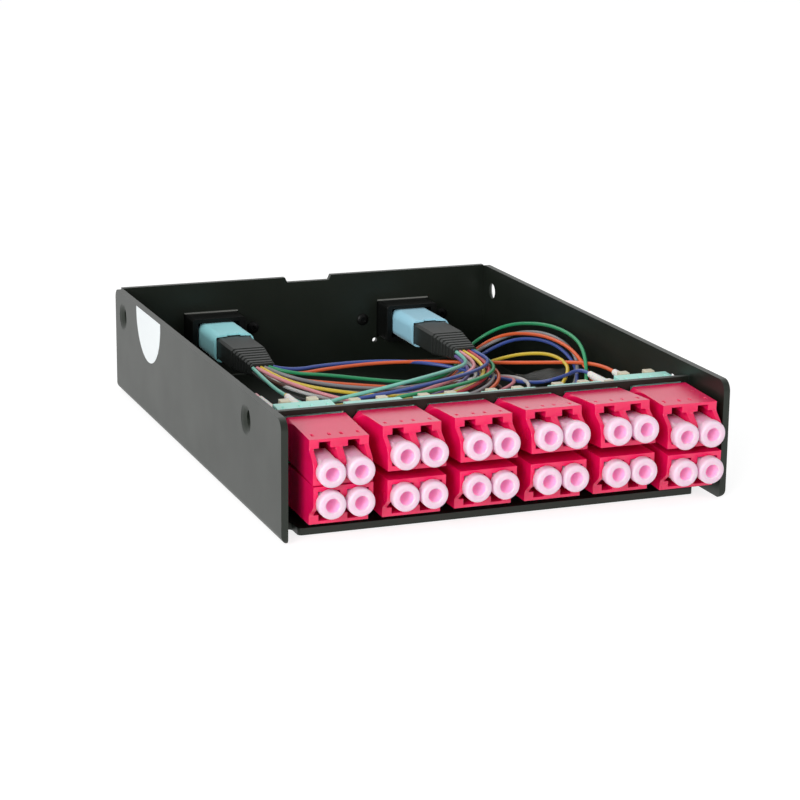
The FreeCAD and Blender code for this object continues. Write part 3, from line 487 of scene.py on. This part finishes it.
mpo = {
    "black": (0.003, 0.0033, 0.003),
    "bootBlack": (0.018, 0.021, 0.019),
    # the right sleeve's darker tone is painted shade; the left one is the lit tone of the same aqua plastic
    "sleeve": {"left": (0.40, 0.90, 0.95), "right": (0.38, 0.72, 0.88)},
    "gapLightTone": (0.17, 0.175, 0.16),
    # the tone of a pale strip above each adapter, painted light for the gap at the window's top edge
    "edgeRadius": 0.2 * mm,
    "cornerBefore": 1.1 * mm,
    "cornerAfter": 2.2 * mm,
    "cornerPlay": 0.02 * mm,
    "wall": 0.55 * mm,
    "wallPlay": 0.05 * mm,
    "drawnIn": 0.17 * mm,
    # the place and size of the strip of painted light
    "paintedGapLightHigh": 18.75 * mm,
    "paintedGapLightDeep": 65.85 * mm,
    "paintedGapLightWide": 14.2 * mm,
    "paintedGapLightThick": 0.3 * mm,
}
blackPlastic = newMaterial("blackPlastic", mpo["black"], 0.45, {"Specular IOR Level": 0.2})
addGrain(blackPlastic, 0.4 * mm, 0.01 * mm, (0.40, 0.52))
bootRubber = newMaterial("bootRubber", mpo["bootBlack"], 0.5)
addGrain(bootRubber, 0.5 * mm, 0.02 * mm, (0.45, 0.58))
# painted light: a pale strip where light shows through the gap above each adapter
paintedGapLight = newMaterial("paintedGapLight", mpo["gapLightTone"], 0.5)
addGrain(paintedGapLight, 0.4 * mm, 0.01 * mm, (0.45, 0.55))


def roundSleeve(nodeName):
    # fuller corners along the sleeve, and the bore drawn in a little so that its walls stay whole
    low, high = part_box(nodeName)
    centre = (low + high) / 2
    half = (high - low) / 2

    def reshape(work):
        for vert in work.verts:
            spot = vert.co - centre
            hand = Vector((math.copysign(1, spot.x), 0, math.copysign(1, spot.z)))
            corner = Vector((centre.x + hand.x * half.x, vert.co.y, centre.z + hand.z * half.z))
            spoke = vert.co - corner + hand * mpo["cornerBefore"]
            if abs(spoke.length - mpo["cornerBefore"]) < mpo["cornerPlay"]:
                vert.co = corner - hand * mpo["cornerAfter"] + spoke.normalized() * mpo["cornerAfter"]
            elif (vert.co - corner + hand * mpo["wall"]).length < mpo["wallPlay"]:
                vert.co -= hand * mpo["drawnIn"]

    return reshape


def addPaintedGapLight(side):
    # a pale strip along the top edge of the back wall's window, above the adapter: painted light, standing for the
    # light that shows through the gap there
    low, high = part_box(f"mpo_sleeve_{side}")
    work = bmesh.new()
    bmesh.ops.create_cube(work, size=1)
    shape = Matrix.Diagonal((mpo["paintedGapLightWide"], mpo["paintedGapLightThick"], mpo["paintedGapLightThick"], 1))
    middle = Vector(((low.x + high.x) / 2, mpo["paintedGapLightDeep"], mpo["paintedGapLightHigh"]))
    bmesh.ops.transform(work, matrix=Matrix.Translation(middle) @ shape, verts=work.verts)
    mesh = finishMesh(work, "gapLightStrip", False)
    addPiece(f"window_gap_light_{side}", mesh, paintedGapLight, "cassette")


# each sleeve gets its own tone: the lit one on the left, painted shade on the right
for side, tone in mpo["sleeve"].items():
    sheen = {"Sheen Weight": 0.2, "Sheen Roughness": 0.35}
    sleevePlasticLitAndShaded = newMaterial("sleevePlasticLitAndShaded_" + side, tone, 0.36, sheen)
    addGrain(sleevePlasticLitAndShaded, 0.5 * mm, 0.012 * mm, (0.32, 0.42))
    nodeName = f"mpo_sleeve_{side}"
    shape = roundSleeve(nodeName)
    roundEdges(nodeName, sleevePlasticLitAndShaded, mpo["edgeRadius"], 3, reshape=shape)
    roundEdges(f"mpo_adapter_{side}", blackPlastic, mpo["edgeRadius"])
    roundEdges(f"mpo_plug_{side}", blackPlastic, mpo["edgeRadius"])
    roundEdges(f"mpo_boot_{side}", bootRubber, mpo["edgeRadius"])
    roundEdges(f"mpo_cap_{side}", bootRubber, mpo["edgeRadius"], 3)
    addPaintedGapLight(side)
print("MPO connectors done")

rivet = {
    "aside": 11.2 * mm,
    "proud": 0.8 * mm,
    "headRadius": 1.6 * mm,
    "headHigh": 0.6 * mm,
    "pinRadius": 0.55 * mm,
    "pinDeep": 0.45 * mm,
    "pinEdge": 0.08 * mm,
    "sides": 32,
}


def makeRivet(size):
    # a domed head with the sunk end of its pin, facing into the tray
    head, pin, top, edge = size["headRadius"], size["pinRadius"], size["headHigh"], size["pinEdge"]
    floor = top - size["pinDeep"]
    profile = [(0, floor), (pin, floor), (pin, top - edge), (pin + edge, top)]
    dome = ((0.65, 0.86), (0.9, 0.5), (1, 0.12), (1, 0))  # shares of the head's radius and height
    profile += [(across * head, high * top) for across, high in dome]
    work = bmesh.new()
    lathe(work, profile, size["sides"])
    return finishMesh(work, "rivet", sharp=50)


rivetMesh = makeRivet(rivet)
rivetLow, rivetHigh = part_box("mpo_rivets")
for side in ("left", "right"):
    low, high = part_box(f"mpo_adapter_{side}")
    for hand in (-1, 1):
        across = (low.x + high.x) / 2 + hand * rivet["aside"]
        for face, depth in ((-1, rivetLow.y + rivet["proud"]), (1, rivetHigh.y - rivet["proud"])):
            name = f"rivet_{side}_{'inner' if face < 0 else 'outer'}_{'left' if hand < 0 else 'right'}"
            place = Vector((across, depth, (rivetLow.z + rivetHigh.z) / 2))
            outward = Vector((0, face, 0))
            head = standCopy(name, rivetMesh, [blackPlastic], "cassette", place, outward)
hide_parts("mpo_rivets")  # the rivets are one node
print("rivets done")

fibre = {"radius": 0.45 * mm, "roundness": 5, "smooth": 12, "gloss": 0.32}
jacketTones = {
    "blue": (0.045, 0.085, 0.330),
    "orange": (0.740, 0.120, 0.035),
    "green": (0.020, 0.300, 0.120),
    "brown": (0.100, 0.045, 0.032),
    "slate": (0.250, 0.250, 0.260),
    "white": (0.620, 0.620, 0.610),
    "red": (0.500, 0.035, 0.050),
    "black": (0.016, 0.015, 0.013),
    "yellow": (0.720, 0.530, 0.050),
    "violet": (0.160, 0.110, 0.320),
    "rose": (0.780, 0.290, 0.330),
    "aqua": (0.210, 0.590, 0.480),
}
jackets = {}
for tone, color in jacketTones.items():
    depth = {"Subsurface Weight": 0.05, "Subsurface Scale": 0.5 * mm}
    jackets[tone] = newMaterial("fibre_" + tone, color, fibre["gloss"], depth)
    addGrain(jackets[tone], 0.8 * mm, 0.004 * mm, (0.28, 0.38))
# each fibre: its jacket, its port's row and place in it, counted from 0 on the left, how far it runs
# straight behind the boot, and the places in millimetres that it passes on the way from the connector
fanOut = {
    "right": [
        ("aqua", "upper", 2, 3.0, [
            (24.0, 22.2, 14.3), (23.0, 14.5, 14.6), (19.5, 5.0, 15.6), (12.0, -3.0, 16.6),
            (0.0, -12.5, 17.6), (-13.0, -18.5, 17.4),
        ]),
        ("rose", "upper", 0, 6.0, [
            (24.9, 22.2, 14.3), (24.8, 14.0, 14.3), (21.0, 3.0, 14.6), (10.0, -6.0, 14.4),
            (-6.0, -12.5, 13.0), (-22.0, -13.5, 11.8), (-37.0, -14.0, 13.5),
        ]),
        ("yellow", "upper", 1, 3.0, [
            (25.9, 22.2, 14.3), (26.4, 14.0, 14.2), (23.5, 2.0, 13.6), (13.0, -10.5, 13.4),
            (-1.0, -18.5, 14.6), (-18.0, -20.5, 15.4), (-30.0, -19.5, 14.5),
        ]),
        ("blue", "upper", 3, 3.4, [
            (28.2, 22.2, 14.3), (29.0, 16.0, 14.4), (26.4, 7.0, 14.8), (18.5, -2.0, 15.4),
            (6.0, -11.0, 16.2), (-8.0, -18.5, 16.6),
        ]),
        ("green", "upper", 4, 3.0, [
            (28.8, 22.2, 14.3), (29.4, 14.0, 13.8), (26.4, 3.0, 14.0), (17.0, -7.5, 14.8),
            (5.0, -16.0, 15.8), (-6.0, -20.5, 16.2),
        ]),
        ("red", "upper", 5, 3.0, [
            (27.2, 22.2, 14.3), (27.6, 14.0, 14.0), (24.8, 2.0, 13.8), (16.0, -8.5, 13.6),
            (5.0, -15.5, 13.4), (-2.5, -18.0, 14.2),
        ]),
        ("violet", "lower", 0, 8.7, [
            (23.8, 22.2, 13.3), (23.6, 14.0, 13.0), (20.0, 4.0, 12.4), (9.0, -5.5, 11.8),
            (-4.0, -10.5, 11.2), (-21.0, -11.0, 10.6), (-37.0, -11.0, 9.8),
        ]),
        ("white", "lower", 1, 7.8, [
            (24.8, 22.2, 13.3), (24.8, 14.0, 12.9), (21.6, 2.5, 12.4), (10.5, -7.0, 11.8),
            (-3.0, -11.5, 11.2), (-20.0, -12.4, 10.6), (-30.5, -12.3, 9.8),
        ]),
        ("brown", "lower", 2, 6.9, [
            (25.8, 22.2, 13.3), (25.9, 14.2, 12.9), (22.8, 2.0, 12.4), (12.0, -8.4, 12.0),
            (-1.0, -12.6, 11.6), (-20.0, -13.4, 10.0),
        ]),
        ("black", "lower", 3, 6.0, [
            (26.8, 22.2, 13.3), (27.0, 14.0, 12.9), (24.2, 1.0, 12.5), (13.5, -9.5, 12.2),
            (0.0, -13.9, 12.0), (-14.0, -14.6, 10.4),
        ]),
        ("slate", "lower", 4, 5.1, [
            (27.8, 22.2, 13.3), (28.1, 13.8, 13.0), (25.6, 0.4, 12.7), (15.5, -10.6, 12.4),
            (1.5, -15.2, 12.2), (-6.0, -15.6, 10.6),
        ]),
        ("orange", "lower", 5, 4.2, [
            (28.8, 22.2, 13.3), (29.6, 15.0, 12.4), (28.6, 5.0, 12.2), (22.0, -6.5, 12.4),
            (12.0, -16.5, 12.6), (1.5, -18.5, 11.5),
        ]),
    ],
    "left": [
        ("blue", "upper", 10, 5.0, [
            (-23.8, 22.2, 14.3), (-20.0, 20.5, 13.4), (-9.0, 25.5, 12.9), (8.0, 30.0, 11.6),
            (22.0, 27.5, 10.2), (31.0, 14.5, 9.0), (36.5, 2.0, 10.0), (38.6, -9.0, 14.2),
        ]),
        ("orange", "upper", 11, 5.0, [
            (-23.8, 22.2, 13.3), (-20.0, 19.0, 12.6), (-9.0, 24.0, 12.3), (8.0, 29.5, 11.3),
            (23.0, 28.0, 10.6), (34.0, 20.5, 11.2), (41.5, 7.0, 13.8), (43.8, -7.0, 17.0),
        ]),
        ("green", "lower", 10, 4.0, [
            (-24.8, 22.2, 14.3), (-21.0, 18.0, 13.4), (-11.0, 20.0, 11.8), (3.0, 20.0, 9.2),
            (14.0, 22.5, 7.2), (26.0, 31.0, 6.2), (37.0, 46.5, 9.4), (45.2, 42.0, 15.6),
            (46.4, 20.0, 20.6), (46.2, 3.0, 21.6), (44.2, -9.0, 20.2), (41.4, -16.4, 13.8),
        ]),
        ("orange", "lower", 11, 3.0, [
            (-24.8, 22.2, 13.3), (-21.6, 16.6, 12.4), (-12.0, 17.0, 10.6), (3.0, 18.5, 8.0),
            (14.0, 21.0, 6.2), (26.0, 29.5, 5.2), (36.0, 43.5, 8.0), (43.6, 40.0, 13.6),
            (45.0, 21.0, 17.8), (44.6, 4.0, 19.2), (43.8, -8.0, 18.0), (44.4, -16.0, 12.0),
        ]),
        ("slate", "upper", 8, 4.0, [
            (-25.8, 22.2, 14.3), (-22.8, 16.8, 13.2), (-14.0, 14.6, 11.0), (-2.0, 15.0, 8.8),
            (10.0, 19.5, 6.8), (24.0, 29.5, 5.6), (36.0, 42.0, 8.2), (44.6, 38.5, 13.6),
            (45.6, 24.0, 17.8), (46.0, 9.0, 19.2), (45.2, -4.0, 17.0), (41.0, -10.0, 10.5),
            (31.5, -14.0, 12.0),
        ]),
        ("blue", "upper", 9, 4.0, [
            (-25.8, 22.2, 13.3), (-23.4, 15.6, 12.2), (-15.0, 13.0, 10.0), (-3.0, 13.5, 7.6),
            (10.0, 18.0, 5.6), (24.0, 28.0, 4.8), (36.0, 40.0, 7.4), (43.8, 36.0, 12.8),
            (45.0, 22.0, 16.4), (45.2, 8.0, 17.6), (44.4, -4.0, 15.6), (41.5, -11.0, 11.5),
            (37.6, -15.0, 13.5),
        ]),
        ("yellow", "lower", 9, 5.0, [
            (-26.8, 22.2, 14.3), (-24.6, 15.2, 13.2), (-18.5, 10.5, 11.6), (-9.0, 6.0, 10.4),
            (3.0, 8.0, 8.0), (16.0, 20.0, 5.6), (30.0, 32.0, 6.4), (40.0, 28.0, 10.8),
            (43.6, 14.0, 14.6), (43.4, 2.0, 15.8), (41.0, -8.0, 15.2), (33.0, -15.5, 11.0),
        ]),
        ("white", "lower", 8, 5.0, [
            (-26.8, 22.2, 13.3), (-25.6, 14.0, 12.2), (-19.5, 7.5, 10.4), (-9.0, 4.5, 8.4),
            (4.0, 12.0, 5.8), (19.0, 25.0, 4.8), (32.0, 25.0, 6.8), (36.0, 12.0, 9.6),
            (34.0, -2.0, 10.8), (25.0, -12.0, 9.6),
        ]),
        ("brown", "upper", 7, 5.0, [
            (-27.8, 22.2, 13.3), (-26.6, 14.0, 12.4), (-20.0, 10.5, 11.2), (-9.0, 12.0, 9.2),
            (5.0, 17.0, 6.6), (20.0, 25.0, 5.4), (31.0, 20.0, 7.2), (30.0, 4.0, 8.6),
            (19.0, -7.0, 8.8),
        ]),
        ("rose", "upper", 6, 5.0, [
            (-27.8, 22.2, 14.3), (-26.4, 15.0, 13.8), (-22.0, 7.0, 12.8), (-16.0, 0.5, 11.4),
            (-6.0, -1.0, 9.0), (8.0, 8.0, 6.0), (22.0, 20.0, 5.4), (33.0, 20.0, 8.0),
            (35.0, 7.0, 10.0), (22.0, -4.0, 9.6), (10.5, -12.5, 10.4),
        ]),
        ("black", "lower", 7, 5.0, [
            (-28.8, 22.2, 13.3), (-28.4, 14.4, 12.2), (-22.5, 6.0, 9.8), (-10.0, 5.5, 6.8),
            (6.0, 15.0, 4.4), (20.0, 22.0, 4.6), (26.0, 13.0, 6.6), (20.0, 0.0, 7.6),
            (13.5, -11.0, 7.8),
        ]),
        ("aqua", "lower", 6, 5.0, [
            (-28.8, 22.2, 14.3), (-28.6, 13.0, 13.4), (-27.4, 4.0, 12.2), (-23.0, -4.0, 10.6),
            (-11.0, -3.0, 8.0), (4.0, 8.0, 5.0), (17.0, 18.0, 4.0), (27.0, 15.0, 5.4),
            (24.0, 2.0, 7.0), (13.0, -5.0, 7.4), (7.0, -13.0, 7.8),
        ]),
    ],
}


def drawFibre(name, route, jacket):
    # one smooth curve with the route's places as its control points
    curve = bpy.data.curves.new(name, "CURVE")
    curve.dimensions = "3D"
    curve.bevel_depth = fibre["radius"]
    curve.bevel_resolution = fibre["roundness"]
    curve.use_fill_caps = True
    spline = curve.splines.new("NURBS")
    spline.points.add(len(route) - 1)
    for point, spot in zip(spline.points, route):
        point.co = (*(spot * mm), 1)
    spline.order_u = 3
    spline.use_endpoint_u = True
    spline.resolution_u = fibre["smooth"]
    strand = bpy.data.objects.new(name, curve)
    scene.collection.objects.link(strand)
    curve.materials.append(jacket)
    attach(strand, "cassette")
    return strand


for side, strands in fanOut.items():
    for tone, row, port, reach, places in strands:
        route = [Vector(spot) for spot in places] + [portAxis(row, port, reach), portAxis(row, port, 0)]
        strand = drawFibre(f"fibre_{side}_{row}_{port + 1:02d}", route, jackets[tone])
    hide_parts(f"fibres_{side}")  # a connector's fibres are one node
print("fibres done")

# sizes in millimetres, angles in degrees
film = {
    "middle": (37.0, -3.0, 13.4),
    "long": 15.0,
    "wide": 5.5,
    "turn": 12.0,
    "lean": 10.0,
    "wave": 0.3,
    "steps": (30, 8),
    "thick": 0.05,
    "tone": (0.75, 0.74, 0.72),
    "alpha": 0.05,
}
glass = {"Alpha": film["alpha"], "Specular IOR Level": 0.6, "IOR": 1.5}
clearFilm = newMaterial("clearFilm", film["tone"], 0.2, glass)
addGrain(clearFilm, 3 * mm, 0.05 * mm, (0.15, 0.25))


def makeFilm(size):
    # a strip of clear tape laid loosely over the fibres, rippled where it bridges them
    work = bmesh.new()
    across, along = size["steps"]
    grid = []
    for i in range(across + 1):
        line = []
        for j in range(along + 1):
            x = (i / across - 0.5) * size["long"]
            y = (j / along - 0.5) * size["wide"]
            ripple = size["wave"] * (math.sin(0.55 * x + 0.25 * y) + 0.35 * math.sin(1.3 * x - 0.8 * y))
            line.append(work.verts.new((x * mm, y * mm, ripple * mm)))
        grid.append(line)
    for before, after in zip(grid, grid[1:]):
        for j in range(along):
            work.faces.new((before[j], after[j], after[j + 1], before[j + 1]))
    return finishMesh(work, "clearTape")


tape = addPiece("clear_tape", makeFilm(film), clearFilm, "cassette")
tape.location = Vector(film["middle"]) * mm
tape.rotation_euler = (math.radians(film["lean"]), 0, math.radians(film["turn"]))
skin = tape.modifiers.new("skin", "SOLIDIFY")
skin.thickness = film["thick"] * mm
print("clear tape done")

label = {
    "tone": (0.80, 0.84, 0.85),
    "radius": 11.0 * mm,
    "along": 35.5 * mm,
    "high": 25.4 * mm,
    "belowRim": 0.25 * mm,
    "thick": 0.05 * mm,
    "steps": 64,
}
labelPaper = newMaterial("labelPaper", label["tone"], 0.5)
addGrain(labelPaper, 0.6 * mm, 0.004 * mm, (0.45, 0.55))


def makeLabel(size):
    # a round label on the left wall, its top cut off just below the wall's edge
    wall, top = cadBounds[0][0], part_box("tray")[1].z - size["belowRim"]
    rim = []
    for n in range(size["steps"]):
        turn = 2 * math.pi * n / size["steps"]
        high = size["high"] + size["radius"] * math.sin(turn)
        rim.append((size["along"] + size["radius"] * math.cos(turn), min(top, high)))
    work = bmesh.new()
    face = work.faces.new([work.verts.new((wall - size["thick"], along, high)) for along, high in rim])
    grown = bmesh.ops.extrude_face_region(work, geom=[face])["geom"]
    inner = [piece for piece in grown if isinstance(piece, bmesh.types.BMVert)]
    bmesh.ops.translate(work, verts=inner, vec=(size["thick"], 0, 0))
    bmesh.ops.remove_doubles(work, verts=work.verts, dist=weld)
    return finishMesh(work, "roundLabel", False)


addPiece("round_label", makeLabel(label), labelPaper, "cassette")
print("label done")

# places and sizes in metres, powers in watts
studio = {
    "floorSide": 6.0,
    "floorBelow": 0.2 * mm,
    "floorTone": (0.9, 0.9, 0.9),
    "floorGlow": 0.80,
    "shadowTone": (0.36, 0.36, 0.36),
    "sky": 0.50,
    "skyFront": 0.25,
    "skyBack": 1.0,
    "skySpan": (-0.6, 0.3),
    "key": {"place": (-0.85, -0.85, 0.42), "size": 0.6, "power": 13.0},
    "fill": {"place": (0.75, -0.80, 0.50), "size": 0.7, "power": 1.5},
    "top": {"place": (0.15, 0.5, 1.0), "size": 0.7, "power": 0.8},
}


def seenDirectly(tree):
    # 1 where a camera, mirror or glass ray looks at the studio, and 0 for the light it sheds
    rays = tree.nodes.new("ShaderNodeLightPath")
    total = rays.outputs["Is Camera Ray"]
    for name in ("Is Glossy Ray", "Is Transmission Ray"):
        more = tree.nodes.new("ShaderNodeMath")
        more.operation = "MAXIMUM"
        tree.links.new(total, more.inputs[0])
        tree.links.new(rays.outputs[name], more.inputs[1])
        total = more.outputs["Value"]
    return rays, total


def paintFloor(size):
    # pale paint that looks nearly white and keeps a soft shadow
    paint = newMaterial("floorPaint", size["floorTone"], 0.9, {"Specular IOR Level": 0.0})
    tree = paint.node_tree
    glow = addNode(paint, "ShaderNodeEmission", {"Strength": size["floorGlow"]})
    shade = addNode(paint, "ShaderNodeBsdfDiffuse", {"Color": (*size["shadowTone"], 1)})
    both = addNode(paint, "ShaderNodeAddShader")
    tree.links.new(glow.outputs["Emission"], both.inputs[0])
    tree.links.new(shade.outputs["BSDF"], both.inputs[1])
    mixer = addNode(paint, "ShaderNodeMixShader")
    tree.links.new(seenDirectly(tree)[1], mixer.inputs["Fac"])
    tree.links.new(shaderOf(paint).outputs["BSDF"], mixer.inputs[1])
    tree.links.new(both.outputs["Shader"], mixer.inputs[2])
    tree.links.new(mixer.outputs["Shader"], tree.nodes["Material Output"].inputs["Surface"])
    return paint


half = studio["floorSide"] / 2
floorMesh = bpy.data.meshes.new("floor")
floorMesh.from_pydata(
    [(-half, -half, 0), (half, -half, 0), (half, half, 0), (-half, half, 0)], [], [(0, 1, 2, 3)]
)
floor = bpy.data.objects.new("floor", floorMesh)
floor.location.z = -studio["floorBelow"]
scene.collection.objects.link(floor)
floorMesh.materials.append(paintFloor(studio))


def mixLevels(tree, factor, low, high):
    # low where the factor is 0 and high where it is 1; each is a number or a node's output
    mixer = tree.nodes.new("ShaderNodeMix")
    tree.links.new(factor, mixer.inputs["Factor"])
    for socket, value in (("A", low), ("B", high)):
        if isinstance(value, float):
            mixer.inputs[socket].default_value = value
        else:
            tree.links.new(value, mixer.inputs[socket])
    return mixer.outputs["Result"]


def makeSky(size):
    # plain light for the object, white behind it, and in reflections dimmer towards the front
    world = bpy.data.worlds.new("studio")
    world.use_nodes = True
    scene.world = world
    tree = world.node_tree
    place = tree.nodes.new("ShaderNodeTexCoord")
    parts = tree.nodes.new("ShaderNodeSeparateXYZ")
    level = tree.nodes.new("ShaderNodeMapRange")
    limits = (*size["skySpan"], size["skyFront"], size["skyBack"])
    for socket, value in zip(("From Min", "From Max", "To Min", "To Max"), limits):
        level.inputs[socket].default_value = value
    tree.links.new(place.outputs["Generated"], parts.inputs["Vector"])
    tree.links.new(parts.outputs["Y"], level.inputs["Value"])
    rays, direct = seenDirectly(tree)
    reflected = mixLevels(tree, direct, size["sky"], level.outputs["Result"])
    strength = mixLevels(tree, rays.outputs["Is Camera Ray"], reflected, 1.0)
    light = tree.nodes["Background"]
    light.inputs["Color"].default_value = (1, 1, 1, 1)
    tree.links.new(strength, light.inputs["Strength"])


makeSky(studio)


def addLamp(name, place, size, power):
    # a square lamp that points at the middle of the tray
    lamp = bpy.data.lights.new(name, "AREA")
    lamp.size = size
    lamp.energy = power
    holder = bpy.data.objects.new(name, lamp)
    holder.location = place
    holder.rotation_euler = (-Vector(place)).to_track_quat("-Z", "Y").to_euler()
    scene.collection.objects.link(holder)


for name in ("key", "fill", "top"):
    addLamp(name, **studio[name])

# the camera's place in metres, its angles in degrees, its lens and sensor in millimetres
view = {
    "place": (-0.19046, -0.49574, 0.14900),
    "turn": -21.071,
    "down": 14.713,
    "roll": 0.627,
    "lens": 104.55,
    "sensor": 36,
    "nearest": 0.01,
}
camera = bpy.data.cameras.new("camera")
camera.lens = view["lens"]
camera.sensor_width = view["sensor"]
camera.clip_start = view["nearest"]
holder = bpy.data.objects.new("camera", camera)
turn, down = math.radians(view["turn"]), math.radians(view["down"])
ahead = Vector((-math.sin(turn) * math.cos(down), math.cos(turn) * math.cos(down), -math.sin(down)))
aim = ahead.to_track_quat("-Z", "Y").to_matrix() @ Matrix.Rotation(math.radians(view["roll"]), 3, "Z")
holder.matrix_world = Matrix.Translation(view["place"]) @ aim.to_4x4()
scene.collection.objects.link(holder)
scene.camera = holder
scene.view_settings.view_transform = "Standard"
print("studio done")
